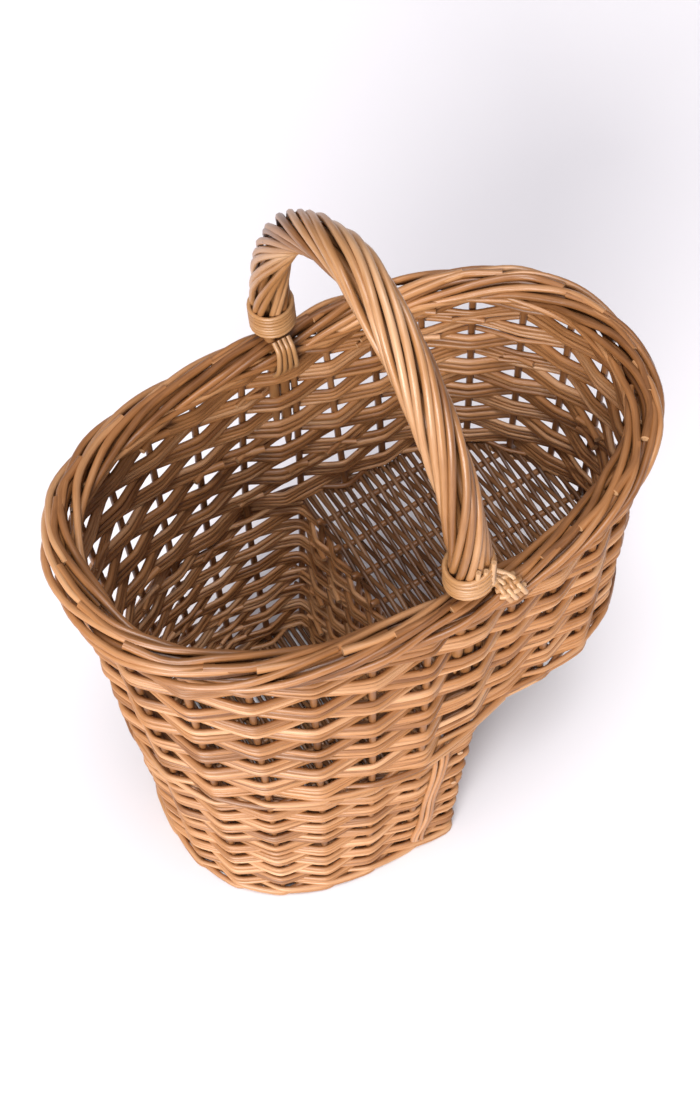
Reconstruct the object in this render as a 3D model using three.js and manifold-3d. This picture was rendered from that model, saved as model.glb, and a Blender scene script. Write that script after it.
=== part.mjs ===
// Woven willow stair basket: an oval basket whose front half is deep and stands on the
// lower tread, whose rear half is shallow and rests on the tread above, with one roped
// handle across the middle. Millimetres, +Z up, +X to the shallow end, -Y the near side.
// The origin is on the ground under the middle of the oval.
import * as THREE from 'three';
import { mergeVertices } from 'three/addons/utils/BufferGeometryUtils.js';
import Module from 'manifold-3d';

// Driving dimensions of the whole basket.
const RIM_LENGTH = 430;
const RIM_WIDTH = 269;
const RIM_HEIGHT = 370;
const RIM_ROUNDNESS = 2.42;
const REAR_START_X = 5;
const RIM_END_RISE = 13;
const RIM_FRONT_RISE = 14;
const STEP_HEIGHT = 172;
const HANDLE_RISE = 177;
const HANDLE_ROUNDNESS = 1.75;
const HANDLE_LEG = 20;
const HANDLE_SEAT = 15;

// Rods and the woven fabric.
const STAKE_DIAMETER = 5.5;
const ROD_THICKNESS = 4;
const GAP = 0.35;
const STAKES_PER_HALF = 13;
const LONG_STAKES = 7;
const UPPER_ROWS = 13;
const LOWER_ROWS = 13;
const ROW_GAP = 0.6;
const SLANT_CLEARANCE = 1.35;
const CORNER_SWELL = 2.08;

// The stake line runs inside the border and inside the outer face of the wall.
const BORDER_OUTER = 13;
const BORDER_INNER = 12;
const BORDER_CLEARANCE = 5.2;
const BORDER_DEPTH = 16;
const FOOT_WALE_HEIGHT = 9;
const STEP_WALE_HEIGHT = 10;

// The front wall at the step level and the D-shaped foot, both on the stake line.
const STEP_FRONT_LENGTH = 193;
const STEP_HALF_WIDTH = 126;
const STEP_ROUNDNESS = 2.27;
const FOOT_CENTRE_X = -47;
const FOOT_FRONT_LENGTH = 141;
const FOOT_HALF_WIDTH = 109;
const FOOT_ROUNDNESS = 2.4;
const RISER_FOOT_X = -10;
const RISER_TOP_X = 7;
const RISER_FOOT_HALF_WIDTH = 111;
const RISER_TOP_HALF_WIDTH = 117;

// The shallow floor, on the stake line, and the sticks that run under it.
const SHALLOW_CENTRE_X = 89;
const SHALLOW_LENGTH = 100;
const SHALLOW_HALF_WIDTH = 108;
const SHALLOW_ROUNDNESS = 1.9;
const STICK_SPACING = 28;
const FLOOR_STICK_Z = STEP_HEIGHT + 6;
const FOOT_STICK_Z = 6.5;
const FLOOR_ROD_THICKNESS = 2.5;
const FLOOR_STRIP_PITCH = 12.5;
const FLOOR_STRIP_WIDTH = 10.5;
const FOOT_STICKS = 5;

// The handle: two bow rods side by side, wrapped in a rope of rods, bound at both feet.
const BOW_DIAMETER = 8;
const BOW_X = [1.8, 10.2];
const BOW_TIP_DEPTH = [100, 130];
const POST_X = 18;
const ROPE_STRANDS = 6;
const ROPE_TURNS = 1.75;
const ROPE_THICKNESS = 4.4;
const ROPE_CLEARANCE = 1;
const COLLAR_HEIGHT = 20;
const COLLAR_LAPS = 6;

const HANDLE_X = (BOW_X[0] + BOW_X[1]) / 2;
const STAKE_RADIUS = STAKE_DIAMETER / 2;
const BOW_RADIUS = BOW_DIAMETER / 2;
const TOP_LENGTH = RIM_LENGTH / 2 - BORDER_OUTER;
const TOP_HALF_WIDTH = RIM_WIDTH / 2 - BORDER_OUTER;
const UP = new THREE.Vector3(0, 0, 1);

const group = new THREE.Group();
group.name = 'stair_basket';

const wasm = await Module();
wasm.setup();

// One willow colour for each kind of rod.
const WILLOW = {
  stake: { color: 0xa9784c, roughness: 0.6 },
  weaver: { color: 0xcf9a68, roughness: 0.5 },
  wale: { color: 0xc48f5e, roughness: 0.5 },
  border: { color: 0xc08a58, roughness: 0.48 },
  floor: { color: 0x8a5f3c, roughness: 0.65 },
  bow: { color: 0xb4824f, roughness: 0.55 },
  rope: { color: 0xd0a070, roughness: 0.45 },
  binding: { color: 0xd8ab7a, roughness: 0.5 },
};

function addPiece(name, geometry, kind) {
  const material = new THREE.MeshStandardMaterial({ ...WILLOW[kind], metalness: 0 });
  const mesh = new THREE.Mesh(geometry, material);
  mesh.name = name;
  group.add(mesh);
}

// A bent rod: straight stretches between its points, mitred at every bend. Its section
// is laid out on a side direction and on the direction square to it. "side" is either
// one fixed vector or one vector for each point.
class RodPath extends THREE.Curve {
  constructor(points, side) {
    super();
    this.points = points;
    this.side = side;
  }

  getPoint(t) {
    const place = t * (this.points.length - 1);
    const index = Math.min(Math.floor(place), this.points.length - 2);
    return this.points[index].clone().lerp(this.points[index + 1], place - index);
  }

  getSpacedPoints() {
    return this.points;
  }

  computeFrenetFrames() {
    const tangents = [];
    const normals = [];
    const binormals = [];
    const last = this.points.length - 1;
    for (let i = 0; i <= last; i += 1) {
      const here = this.points[i];
      const before = here.clone().sub(this.points[Math.max(i - 1, 0)]).normalize();
      const after = this.points[Math.min(i + 1, last)].clone().sub(here).normalize();
      const tangent = before.clone().add(after).normalize();
      const side = Array.isArray(this.side) ? this.side[i] : this.side;
      const normal = side.clone().addScaledVector(tangent, -side.dot(tangent)).normalize();
      const binormal = tangent.clone().cross(normal);
      stretchAcrossBend(normal, binormal, before, after);
      tangents.push(tangent);
      normals.push(normal);
      binormals.push(binormal);
    }
    return { tangents, normals, binormals };
  }
}

// Widens a section across the bend so that the rod keeps its thickness through it.
function stretchAcrossBend(normal, binormal, before, after) {
  const bend = after.clone().sub(before);
  if (bend.length() < 1e-6 || before.length() === 0 || after.length() === 0) {
    return;
  }
  const growth = Math.min(1 / Math.sqrt(1 - bend.lengthSq() / 4), 1.5) - 1;
  bend.normalize();
  normal.addScaledVector(bend, growth * normal.dot(bend));
  binormal.addScaledVector(bend, growth * binormal.dot(bend));
}

function rectangle(width, height) {
  const x = width / 2;
  const y = height / 2;
  return new THREE.Shape([
    new THREE.Vector2(-x, -y),
    new THREE.Vector2(x, -y),
    new THREE.Vector2(x, y),
    new THREE.Vector2(-x, y),
  ]);
}

function polygon(diameter, sides) {
  const corners = [];
  for (let i = 0; i < sides; i += 1) {
    const angle = (2 * Math.PI * (i + 0.5)) / sides;
    corners.push(new THREE.Vector2(Math.cos(angle), Math.sin(angle)).multiplyScalar(diameter / 2));
  }
  return new THREE.Shape(corners);
}

function rod(points, section, side) {
  const extrudePath = new RodPath(points, side);
  return new THREE.ExtrudeGeometry(section, { steps: points.length - 1, extrudePath });
}

// Half of an oval with straight shoulders: from (startX, -halfWidth) straight to
// centreX, round the end, and back to (startX, +halfWidth). A negative length goes to -X.
class HalfOval extends THREE.Curve {
  constructor(startX, centreX, length, halfWidth, roundness) {
    super();
    Object.assign(this, { startX, centreX, length, halfWidth, roundness });
  }

  getPoint(t) {
    const shoulder = Math.abs(this.centreX - this.startX);
    const share = shoulder / (2 * shoulder + Math.PI * Math.abs(this.length));
    if (t < share) {
      const x = THREE.MathUtils.lerp(this.startX, this.centreX, t / share);
      return new THREE.Vector3(x, -this.halfWidth, 0);
    }
    if (t > 1 - share) {
      const x = THREE.MathUtils.lerp(this.centreX, this.startX, (t - 1 + share) / share);
      return new THREE.Vector3(x, this.halfWidth, 0);
    }
    const angle = Math.PI * ((t - share) / (1 - 2 * share) - 0.5);
    const power = 2 / this.roundness;
    const x = this.centreX + this.length * Math.abs(Math.cos(angle)) ** power;
    const y = this.halfWidth * Math.sign(angle) * Math.abs(Math.sin(angle)) ** power;
    return new THREE.Vector3(x, y, 0);
  }
}

const RIM_FRONT = new HalfOval(POST_X, 0, -TOP_LENGTH, TOP_HALF_WIDTH, RIM_ROUNDNESS);
const RIM_REAR = new HalfOval(
  REAR_START_X, REAR_START_X, TOP_LENGTH - REAR_START_X, TOP_HALF_WIDTH, RIM_ROUNDNESS);
const STEP_FRONT = new HalfOval(0, 0, -STEP_FRONT_LENGTH, STEP_HALF_WIDTH, STEP_ROUNDNESS);
const FOOT_FRONT = new HalfOval(
  RISER_FOOT_X, FOOT_CENTRE_X, -FOOT_FRONT_LENGTH, FOOT_HALF_WIDTH, FOOT_ROUNDNESS);
const SHALLOW_REAR = new HalfOval(
  RISER_TOP_X, SHALLOW_CENTRE_X, SHALLOW_LENGTH, SHALLOW_HALF_WIDTH, SHALLOW_ROUNDNESS);

function rimZ(x) {
  const share = (2 * x) / RIM_LENGTH;
  return RIM_HEIGHT + RIM_END_RISE * share * share - RIM_FRONT_RISE * share;
}

function atTop(point, drop) {
  return new THREE.Vector3(point.x, point.y, rimZ(point.x) - drop);
}

function at(point, z) {
  return new THREE.Vector3(point.x, point.y, z);
}

// The point of a polyline of rising points that lies at height z.
function pointAtHeight(line, z) {
  let index = 0;
  while (index < line.length - 2 && line[index + 1].z < z) {
    index += 1;
  }
  const low = line[index];
  const high = line[index + 1];
  return low.clone().lerp(high, (z - low.z) / (high.z - low.z));
}

const STAKE_TOP_DROP = 9;
const FOOT_TOP = FOOT_WALE_HEIGHT + GAP;

// Front stakes rise from the foot wale through the step level to the border.
function frontStakeLine(index) {
  const share = index / (STAKES_PER_HALF + 1);
  return [
    at(FOOT_FRONT.getPointAt(share), FOOT_TOP),
    at(STEP_FRONT.getPointAt(share), STEP_HEIGHT),
    atTop(RIM_FRONT.getPointAt(share), STAKE_TOP_DROP),
  ];
}

// The two posts stand at the corners of the riser and beside the feet of the handle.
function postLine(side) {
  return [
    new THREE.Vector3(RISER_FOOT_X, side * RISER_FOOT_HALF_WIDTH, FOOT_TOP),
    new THREE.Vector3(RISER_TOP_X, side * RISER_TOP_HALF_WIDTH, STEP_HEIGHT),
    atTop(new THREE.Vector3(POST_X, side * TOP_HALF_WIDTH, 0), STAKE_TOP_DROP),
  ];
}

// The upright part of a rear stake, from the shallow floor to the border.
function rearStakeLine(index) {
  const share = index / (STAKES_PER_HALF + 1);
  return [
    at(SHALLOW_REAR.getPointAt(share), FLOOR_STICK_Z),
    atTop(RIM_REAR.getPointAt(share), STAKE_TOP_DROP),
  ];
}

// The upright part of a long stake in the riser wall.
function riserStakeLine(index) {
  const offset = index - (LONG_STAKES - 1) / 2;
  const y = offset * STICK_SPACING;
  return [
    new THREE.Vector3(RISER_FOOT_X, y * 0.96, FOOT_TOP),
    new THREE.Vector3(RISER_TOP_X, y, FLOOR_STICK_Z),
  ];
}

const FIRST_LONG = (STAKES_PER_HALF - LONG_STAKES) / 2 + 1;
const ALONG_X = new THREE.Vector3(1, 0, 0);
const ALONG_Y = new THREE.Vector3(0, 1, 0);

function addStakes() {
  const section = polygon(STAKE_DIAMETER, 6);
  for (let i = 1; i <= STAKES_PER_HALF; i += 1) {
    addPiece(`stake_front_${i}`, rod(frontStakeLine(i), section, ALONG_X), 'stake');
  }
  addPiece('post_near', rod(postLine(-1), section, ALONG_X), 'stake');
  addPiece('post_far', rod(postLine(1), section, ALONG_X), 'stake');
  for (let i = 1; i < FIRST_LONG; i += 1) {
    addPiece(`stake_side_near_${i}`, rod(rearStakeLine(i), section, ALONG_X), 'stake');
    const mirrored = STAKES_PER_HALF + 1 - i;
    addPiece(`stake_side_far_${i}`, rod(rearStakeLine(mirrored), section, ALONG_X), 'stake');
  }
}

// A long stake climbs the riser, turns to run under the shallow floor as one of its
// sticks, and turns up again in the rear wall.
function addLongStakes() {
  const section = polygon(STAKE_DIAMETER, 6);
  for (let i = 0; i < LONG_STAKES; i += 1) {
    const line = [...riserStakeLine(i), ...rearStakeLine(FIRST_LONG + i)];
    addPiece(`long_stake_${i + 1}`, rod(line, section, ALONG_Y), 'stake');
  }
}

// A ring of stakes that rods weave through. Each place has its line, whether the odd
// rows pass outside it, and its radius.
function place(line, odd, radius) {
  return { line, odd, radius };
}

function frontPlaces() {
  const places = [];
  for (let i = STAKES_PER_HALF; i >= 1; i -= 1) {
    places.push(place(frontStakeLine(i), i % 2 === 1, STAKE_RADIUS));
  }
  return places;
}

// The handle's foot is one wide place: its outer bow rod and the post beside it.
function handlePlaces(side) {
  const [, low, top] = postLine(side);
  const outerBow = [low.clone(), top.clone()];
  outerBow[0].x += BOW_X[0] - POST_X;
  outerBow[1].x += BOW_X[0] - POST_X;
  const ends = [place(outerBow, false, BOW_RADIUS), place([low, top], false, BOW_RADIUS)];
  return side < 0 ? ends : ends.reverse();
}

function upperRing() {
  const rear = [];
  for (let i = 1; i <= STAKES_PER_HALF; i += 1) {
    rear.push(place(rearStakeLine(i), i % 2 === 1, STAKE_RADIUS));
  }
  return [...handlePlaces(-1), ...rear, ...handlePlaces(1), ...frontPlaces()];
}

function lowerRing() {
  const riser = [];
  for (let i = 0; i < LONG_STAKES; i += 1) {
    riser.push(place(riserStakeLine(i), i % 2 === 0, STAKE_RADIUS));
  }
  return [
    place(postLine(-1), false, STAKE_RADIUS),
    ...riser,
    place(postLine(1), false, STAKE_RADIUS),
    ...frontPlaces(),
  ];
}

// The point beside place "index" of a ring at height z, "offset" outside the stake line.
function beside(ring, index, z, offset) {
  const count = ring.length;
  const here = pointAtHeight(ring[index].line, z);
  const before = pointAtHeight(ring[(index + count - 1) % count].line, z);
  const after = pointAtHeight(ring[(index + 1) % count].line, z);
  const first = here.clone().sub(before).setZ(0).normalize().cross(UP);
  const second = after.clone().sub(here).setZ(0).normalize().cross(UP);
  const outward = first.clone().add(second).normalize();
  const mitre = 1 / outward.dot(first);
  return here.addScaledVector(outward, offset * mitre ** CORNER_SWELL);
}

// One of two weavers that chase each other up a wall. Each climbs two rows a turn, so
// between them they fill every row, and each passes outside every other stake.
function weaver(ring, rows, floorZ, ceilingZ, odd) {
  const count = ring.length;
  const first = odd ? count / 2 : 0;
  const rowHeight = (ceilingZ(0) - floorZ) / rows;
  const points = [];
  for (let step = 0; step <= (count * (rows - 1)) / 2; step += 1) {
    const index = (first + step) % count;
    const spot = ring[index];
    const share = ((2 * step) / count + 0.5) / rows;
    const rough = pointAtHeight(spot.line, floorZ + share * (ceilingZ(0) - floorZ));
    const z = floorZ + share * (ceilingZ(rough.x) - floorZ);
    const reach = spot.radius + GAP + ROD_THICKNESS / 2;
    const offset = (reach + SLANT_CLEARANCE) * (spot.odd === odd ? 1 : -1);
    points.push(beside(ring, index, z, offset));
  }
  return rod(points, rectangle(rowHeight - ROW_GAP, ROD_THICKNESS), UP);
}

function addWeaving() {
  const upper = upperRing();
  const lower = lowerRing();
  const upperFloor = STEP_HEIGHT + STEP_WALE_HEIGHT + GAP;
  const upperCeiling = (x) => rimZ(x) - BORDER_DEPTH - GAP;
  const lowerCeiling = () => STEP_HEIGHT - GAP;
  for (const odd of [true, false]) {
    const letter = odd ? 'a' : 'b';
    const high = weaver(upper, UPPER_ROWS, upperFloor, upperCeiling, odd);
    const low = weaver(lower, LOWER_ROWS, FOOT_TOP, lowerCeiling, odd);
    addPiece(`upper_weaver_${letter}`, high, 'weaver');
    addPiece(`lower_weaver_${letter}`, low, 'weaver');
  }
}

// A plain rod laid round a ring of stakes, its ends butting with a small gap.
function hoop(ring, heightOf, offset, section) {
  const points = ring.map((spot, index) => {
    const rough = beside(ring, index, heightOf(0), offset);
    return beside(ring, index, heightOf(rough.x), offset);
  });
  const start = points[0].clone().lerp(points[points.length - 1], 0.5);
  const lead = points[0].clone().sub(start).setLength(GAP / 2);
  const closed = [start.clone().add(lead), ...points, start.clone().sub(lead)];
  return rod(closed, section, UP);
}

function addWales() {
  const lower = lowerRing();
  const footWidth = STAKE_RADIUS + 7;
  const footSection = rectangle(FOOT_WALE_HEIGHT, footWidth);
  const footHoop = hoop(lower, () => FOOT_WALE_HEIGHT / 2, footWidth / 2 - STAKE_RADIUS, footSection);
  addPiece('foot_wale', footHoop, 'wale');
  const stepRing = [
    place(postLine(-1), false, STAKE_RADIUS),
    ...upperRing().slice(2, 2 + STAKES_PER_HALF),
    place(postLine(1), false, STAKE_RADIUS),
    ...frontPlaces(),
  ];
  const stepSection = rectangle(STEP_WALE_HEIGHT, 5);
  const stepOffset = STAKE_RADIUS + GAP + 3;
  const stepHoop = hoop(stepRing, () => STEP_HEIGHT + STEP_WALE_HEIGHT / 2, stepOffset, stepSection);
  addPiece('step_wale', stepHoop, 'wale');
}

// The border: a strand outside the stakes, one inside them, and one over their ends on
// each side of the handle.
function addBorder() {
  const upper = upperRing();
  const outerWidth = BORDER_OUTER - BORDER_CLEARANCE;
  const innerWidth = BORDER_INNER - BORDER_CLEARANCE;
  const depth = BORDER_DEPTH - 1;
  const middle = (x) => rimZ(x) - depth / 2;
  const outer = hoop(upper, middle, BORDER_CLEARANCE + outerWidth / 2, rectangle(depth, outerWidth));
  const inner = hoop(upper, middle, -BORDER_CLEARANCE - innerWidth / 2, rectangle(depth, innerWidth));
  addPiece('border_outer', outer, 'border');
  addPiece('border_inner', inner, 'border');
  const half = upper.length / 2;
  const capHeight = 7;
  const capSection = rectangle(capHeight, 2 * BORDER_CLEARANCE - 1);
  const ends = { rear: [2, half], front: [half + 2, upper.length] };
  for (const [name, [from, to]] of Object.entries(ends)) {
    const points = [];
    for (let i = from; i < to; i += 1) {
      const rough = beside(upper, i, RIM_HEIGHT, 0);
      points.push(beside(upper, i, rimZ(rough.x) - capHeight / 2, 0));
    }
    addPiece(`border_cap_${name}`, rod(points, capSection, UP), 'border');
  }
}

// Strips of thin rod woven over and under the sticks of a floor, held together by two
// spine rods that run between the sticks. Each stick is a line in plan from front to
// rear, and "edge" gives half the floor's width at x.
function floorWeave(fromX, toX, sticks, z, edge) {
  const reach = STAKE_RADIUS + GAP + FLOOR_ROD_THICKNESS / 2 + 0.3;
  const strip = rectangle(FLOOR_STRIP_WIDTH, FLOOR_ROD_THICKNESS);
  const spine = rectangle(FLOOR_ROD_THICKNESS, 4);
  const rows = Math.ceil((toX - fromX) / FLOOR_STRIP_PITCH);
  const rods = [-1, 1].map((side) => {
    const y = (side * STICK_SPACING) / 2;
    return rod([fromX, toX].map((x) => new THREE.Vector3(x, y, z)), spine, UP);
  });
  for (let row = 0; row <= rows; row += 1) {
    const x = THREE.MathUtils.lerp(fromX, toX, row / rows);
    const crossings = sticks.map(([front, rear]) => {
      const share = (x - front.x) / (rear.x - front.x);
      return THREE.MathUtils.lerp(front.y, rear.y, share);
    });
    const half = clearOfSticks(edge(x), crossings);
    const points = [new THREE.Vector3(x, -half, z)];
    crossings.forEach((y, index) => {
      if (Math.abs(y) < half) {
        const over = (index + row) % 2 === 0;
        points.push(new THREE.Vector3(x, y, z + (over ? reach : -reach)));
      }
    });
    points.push(new THREE.Vector3(x, half, z));
    rods.push(rod(points, strip, ALONG_X));
  }
  return fromManifold(rods.map(toManifold).reduce((whole, next) => whole.add(next)));
}

// Draws a strip's ends in where they would land on a stick.
function clearOfSticks(half, crossings) {
  const margin = STAKE_DIAMETER + 1;
  const blocking = crossings.find((y) => Math.abs(half - Math.abs(y)) < margin);
  return blocking === undefined ? half : Math.abs(blocking) - margin;
}

function ovalHalfWidth(x, centreX, length, halfWidth, roundness) {
  const share = Math.max((x - centreX) / length, 0);
  return halfWidth * Math.max(1 - share ** roundness, 0) ** (1 / roundness);
}

const FLOOR_INSET = 10;

function shallowEdge(x) {
  return ovalHalfWidth(x, SHALLOW_CENTRE_X, SHALLOW_LENGTH - FLOOR_INSET,
    SHALLOW_HALF_WIDTH - FLOOR_INSET, SHALLOW_ROUNDNESS);
}

function footEdge(x) {
  return ovalHalfWidth(x, FOOT_CENTRE_X, -(FOOT_FRONT_LENGTH - FLOOR_INSET),
    FOOT_HALF_WIDTH - FLOOR_INSET, FOOT_ROUNDNESS);
}

// A stick of the foot's floor, from just inside the front wall to the riser.
function footStick(index) {
  const y = (index - (FOOT_STICKS - 1) / 2) * STICK_SPACING;
  const bulge = ovalHalfWidth(Math.abs(y), 0, FOOT_HALF_WIDTH, 1, FOOT_ROUNDNESS);
  const front = FOOT_CENTRE_X - (FOOT_FRONT_LENGTH - FLOOR_INSET) * bulge;
  const rear = RISER_FOOT_X - FLOOR_INSET;
  return [front, rear].map((x) => new THREE.Vector3(x, y, FOOT_STICK_Z));
}

function addFloors() {
  const margin = FLOOR_INSET + FLOOR_STRIP_PITCH / 2;
  const longSticks = [];
  for (let i = 0; i < LONG_STAKES; i += 1) {
    longSticks.push([riserStakeLine(i)[1], rearStakeLine(FIRST_LONG + i)[0]]);
  }
  const shallowTo = SHALLOW_CENTRE_X + SHALLOW_LENGTH - margin;
  const shallow = floorWeave(
    RISER_TOP_X + margin, shallowTo, longSticks, FLOOR_STICK_Z, shallowEdge);
  addPiece('shallow_floor_weave', shallow, 'floor');
  const footSticks = [];
  for (let i = 0; i < FOOT_STICKS; i += 1) {
    footSticks.push(footStick(i));
    const geometry = rod(footStick(i), polygon(STAKE_DIAMETER, 6), UP);
    addPiece(`foot_stick_${i + 1}`, geometry, 'stake');
  }
  const footFrom = FOOT_CENTRE_X - FOOT_FRONT_LENGTH + margin;
  const foot = floorWeave(footFrom, RISER_FOOT_X - margin, footSticks, FOOT_STICK_Z, footEdge);
  addPiece('foot_floor_weave', foot, 'floor');
}

// The handle's centre line: two short straight legs joined by an arch.
class HandleArch extends THREE.Curve {
  getPoint(t) {
    const power = 2 / HANDLE_ROUNDNESS;
    const base = RIM_HEIGHT + HANDLE_SEAT;
    const legShare = HANDLE_LEG / (2 * HANDLE_LEG + 2.4 * HANDLE_RISE);
    if (t < legShare || t > 1 - legShare) {
      const side = t < legShare ? -1 : 1;
      const height = (HANDLE_LEG * Math.min(t, 1 - t)) / legShare;
      return new THREE.Vector3(HANDLE_X, side * TOP_HALF_WIDTH, base + height);
    }
    const angle = (Math.PI * (t - legShare)) / (1 - 2 * legShare);
    const cosine = Math.cos(angle);
    const y = -TOP_HALF_WIDTH * Math.sign(cosine) * Math.abs(cosine) ** power;
    const rise = (HANDLE_RISE - HANDLE_LEG) * Math.sin(angle) ** power;
    return new THREE.Vector3(HANDLE_X, y, base + HANDLE_LEG + rise);
  }
}

const HANDLE_STEPS = 40;

// A bow rod's pointed ends run down inside the wall beside the post.
function addBows() {
  const arch = new HandleArch().getSpacedPoints(HANDLE_STEPS);
  BOW_X.forEach((x, index) => {
    const legs = [-1, 1].map((side) => {
      const [, low, top] = postLine(side);
      low.x += x - POST_X;
      top.x += x - POST_X;
      return [pointAtHeight([low, top], RIM_HEIGHT - BOW_TIP_DEPTH[index]), top];
    });
    const shifted = arch.map((point) => point.clone().setX(x));
    const line = [...legs[0], ...shifted, ...legs[1].reverse()];
    addPiece(`handle_bow_${index + 1}`, rod(line, polygon(BOW_DIAMETER, 6), ALONG_X), 'bow');
  });
}

// The roping: flat strands of rods that wind side by side round the two bow rods.
function addRoping() {
  const arch = new HandleArch();
  const inner = BOW_RADIUS + (BOW_X[1] - BOW_X[0]) / 2 + ROPE_CLEARANCE;
  const radius = inner + ROPE_THICKNESS / 2;
  const width = 2 * inner * Math.tan(Math.PI / ROPE_STRANDS) - GAP;
  const centres = arch.getSpacedPoints(HANDLE_STEPS);
  for (let strand = 0; strand < ROPE_STRANDS; strand += 1) {
    const sides = [];
    const points = centres.map((centre, i) => {
      const tangent = arch.getTangentAt(i / HANDLE_STEPS);
      const angle = 2 * Math.PI * (strand / ROPE_STRANDS + (ROPE_TURNS * i) / HANDLE_STEPS);
      const out = ALONG_X.clone().applyAxisAngle(tangent, angle);
      sides.push(out);
      return centre.clone().addScaledVector(out, radius);
    });
    const path = new RopePath(points, sides, arch);
    const section = rectangle(ROPE_THICKNESS, width);
    const geometry = new THREE.ExtrudeGeometry(section, { steps: HANDLE_STEPS, extrudePath: path });
    addPiece(`handle_roping_${strand + 1}`, geometry, 'rope');
  }
}

// A strand's sections all lie square to the handle, so that the strands never meet.
class RopePath extends RodPath {
  constructor(points, side, arch) {
    super(points, side);
    this.arch = arch;
  }

  computeFrenetFrames(steps) {
    const tangents = this.points.map((_, i) => this.arch.getTangentAt(i / steps));
    const binormals = tangents.map((tangent, i) => tangent.clone().cross(this.side[i]));
    return { tangents, normals: this.side, binormals };
  }
}

// A collar is a lapped binding round the foot of the handle: a ring with one round
// bulge for each lap.
function addCollar(name, side) {
  const inner = 15;
  const groove = 17.2;
  const crest = 18.4;
  const lap = COLLAR_HEIGHT / COLLAR_LAPS;
  const profile = [new THREE.Vector2(inner, 0)];
  for (let i = 0; i < COLLAR_LAPS; i += 1) {
    profile.push(new THREE.Vector2(groove, i * lap));
    profile.push(new THREE.Vector2(crest, (i + 0.5) * lap));
  }
  profile.push(new THREE.Vector2(groove, COLLAR_HEIGHT));
  profile.push(new THREE.Vector2(inner, COLLAR_HEIGHT));
  profile.push(profile[0].clone());
  const geometry = new THREE.LatheGeometry(profile, 16).rotateX(Math.PI / 2);
  geometry.translate(HANDLE_X, side * TOP_HALF_WIDTH, RIM_HEIGHT + HANDLE_SEAT);
  addPiece(name, geometry, 'binding');
}

// The binding's ends: a plaited patch over the outside of the border at the near foot,
// and strands that run down inside the border at the far foot.
function addLashings() {
  const ring = upperRing();
  const near = [1, 2].map((index) => beside(ring, index, RIM_HEIGHT - BORDER_DEPTH, BORDER_OUTER + 2));
  const [start, end] = [0.1, 0.75].map((share) => atTop(near[0].clone().lerp(near[1], share), 7));
  addPiece('lash_near', rod([start, end], rectangle(15, 3), UP), 'binding');
  const y = TOP_HALF_WIDTH - BORDER_INNER - 2;
  const strap = [RIM_HEIGHT + HANDLE_SEAT - GAP, RIM_HEIGHT - 25];
  const line = strap.map((z) => new THREE.Vector3(HANDLE_X, y, z));
  addPiece('lash_far', rod(line, rectangle(16, 3), ALONG_X), 'binding');
}

function toManifold(geometry) {
  const bare = geometry.clone();
  bare.deleteAttribute('normal');
  bare.deleteAttribute('uv');
  const merged = mergeVertices(bare, 1e-4);
  return new wasm.Manifold(new wasm.Mesh({
    numProp: 3,
    vertProperties: new Float32Array(merged.attributes.position.array),
    triVerts: new Uint32Array(merged.index.array),
  }));
}

function fromManifold(solid) {
  const mesh = solid.getMesh();
  const geometry = new THREE.BufferGeometry();
  geometry.setAttribute('position', new THREE.BufferAttribute(mesh.vertProperties, 3));
  geometry.setIndex(new THREE.BufferAttribute(mesh.triVerts, 1));
  return geometry;
}

addStakes();
addLongStakes();
addWeaving();
addWales();
addFloors();
addBorder();
addBows();
addRoping();
addCollar('collar_near', -1);
addCollar('collar_far', 1);
addLashings();

export default group;
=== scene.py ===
"""A woven willow stair basket: an oval basket with a deep front half, a shallow rear half
that rests on the tread above, and one roped handle across the middle."""

import math

import bpy
import numpy as np
from mathutils import Matrix, Vector


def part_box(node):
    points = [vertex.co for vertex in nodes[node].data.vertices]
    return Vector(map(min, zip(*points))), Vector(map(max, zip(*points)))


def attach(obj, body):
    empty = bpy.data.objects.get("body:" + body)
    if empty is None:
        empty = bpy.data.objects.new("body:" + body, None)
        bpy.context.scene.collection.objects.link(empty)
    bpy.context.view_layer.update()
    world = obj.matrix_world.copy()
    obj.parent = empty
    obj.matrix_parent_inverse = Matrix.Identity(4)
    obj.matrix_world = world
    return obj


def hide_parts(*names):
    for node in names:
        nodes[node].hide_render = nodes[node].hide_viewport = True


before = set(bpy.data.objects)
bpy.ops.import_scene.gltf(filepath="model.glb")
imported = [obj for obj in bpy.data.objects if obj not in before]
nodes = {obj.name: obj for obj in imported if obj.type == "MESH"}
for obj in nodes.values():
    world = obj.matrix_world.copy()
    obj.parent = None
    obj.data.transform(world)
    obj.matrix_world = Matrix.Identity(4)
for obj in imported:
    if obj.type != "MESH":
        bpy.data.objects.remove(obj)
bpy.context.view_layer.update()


# ---------------------------------------------------------------------------------------
# Stakes: the upright willow rods that everything is woven round. The front ones rise from
# the foot to the border; they show as darker uprights where the weave opens.
# ---------------------------------------------------------------------------------------
MM = 0.001
STAKE_RADIUS = 2.75 * MM
STAKES_PER_HALF = 13
SIDE_STAKES = 3
LONG_STAKES = 7
END_ZONE = 50 * MM
ROD_CORNERS = 6


def section_centres(node):
    """The centres of a CAD rod's cut sections, from the lowest to the highest."""
    places = np.array([v.co for v in nodes[node].data.vertices], float)
    places = np.unique(np.round(places, 5), axis=0)
    places = places[np.argsort(places[:, 2])]
    starts = range(0, len(places), ROD_CORNERS)
    return np.array([places[i : i + ROD_CORNERS].mean(0) for i in starts])


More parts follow.
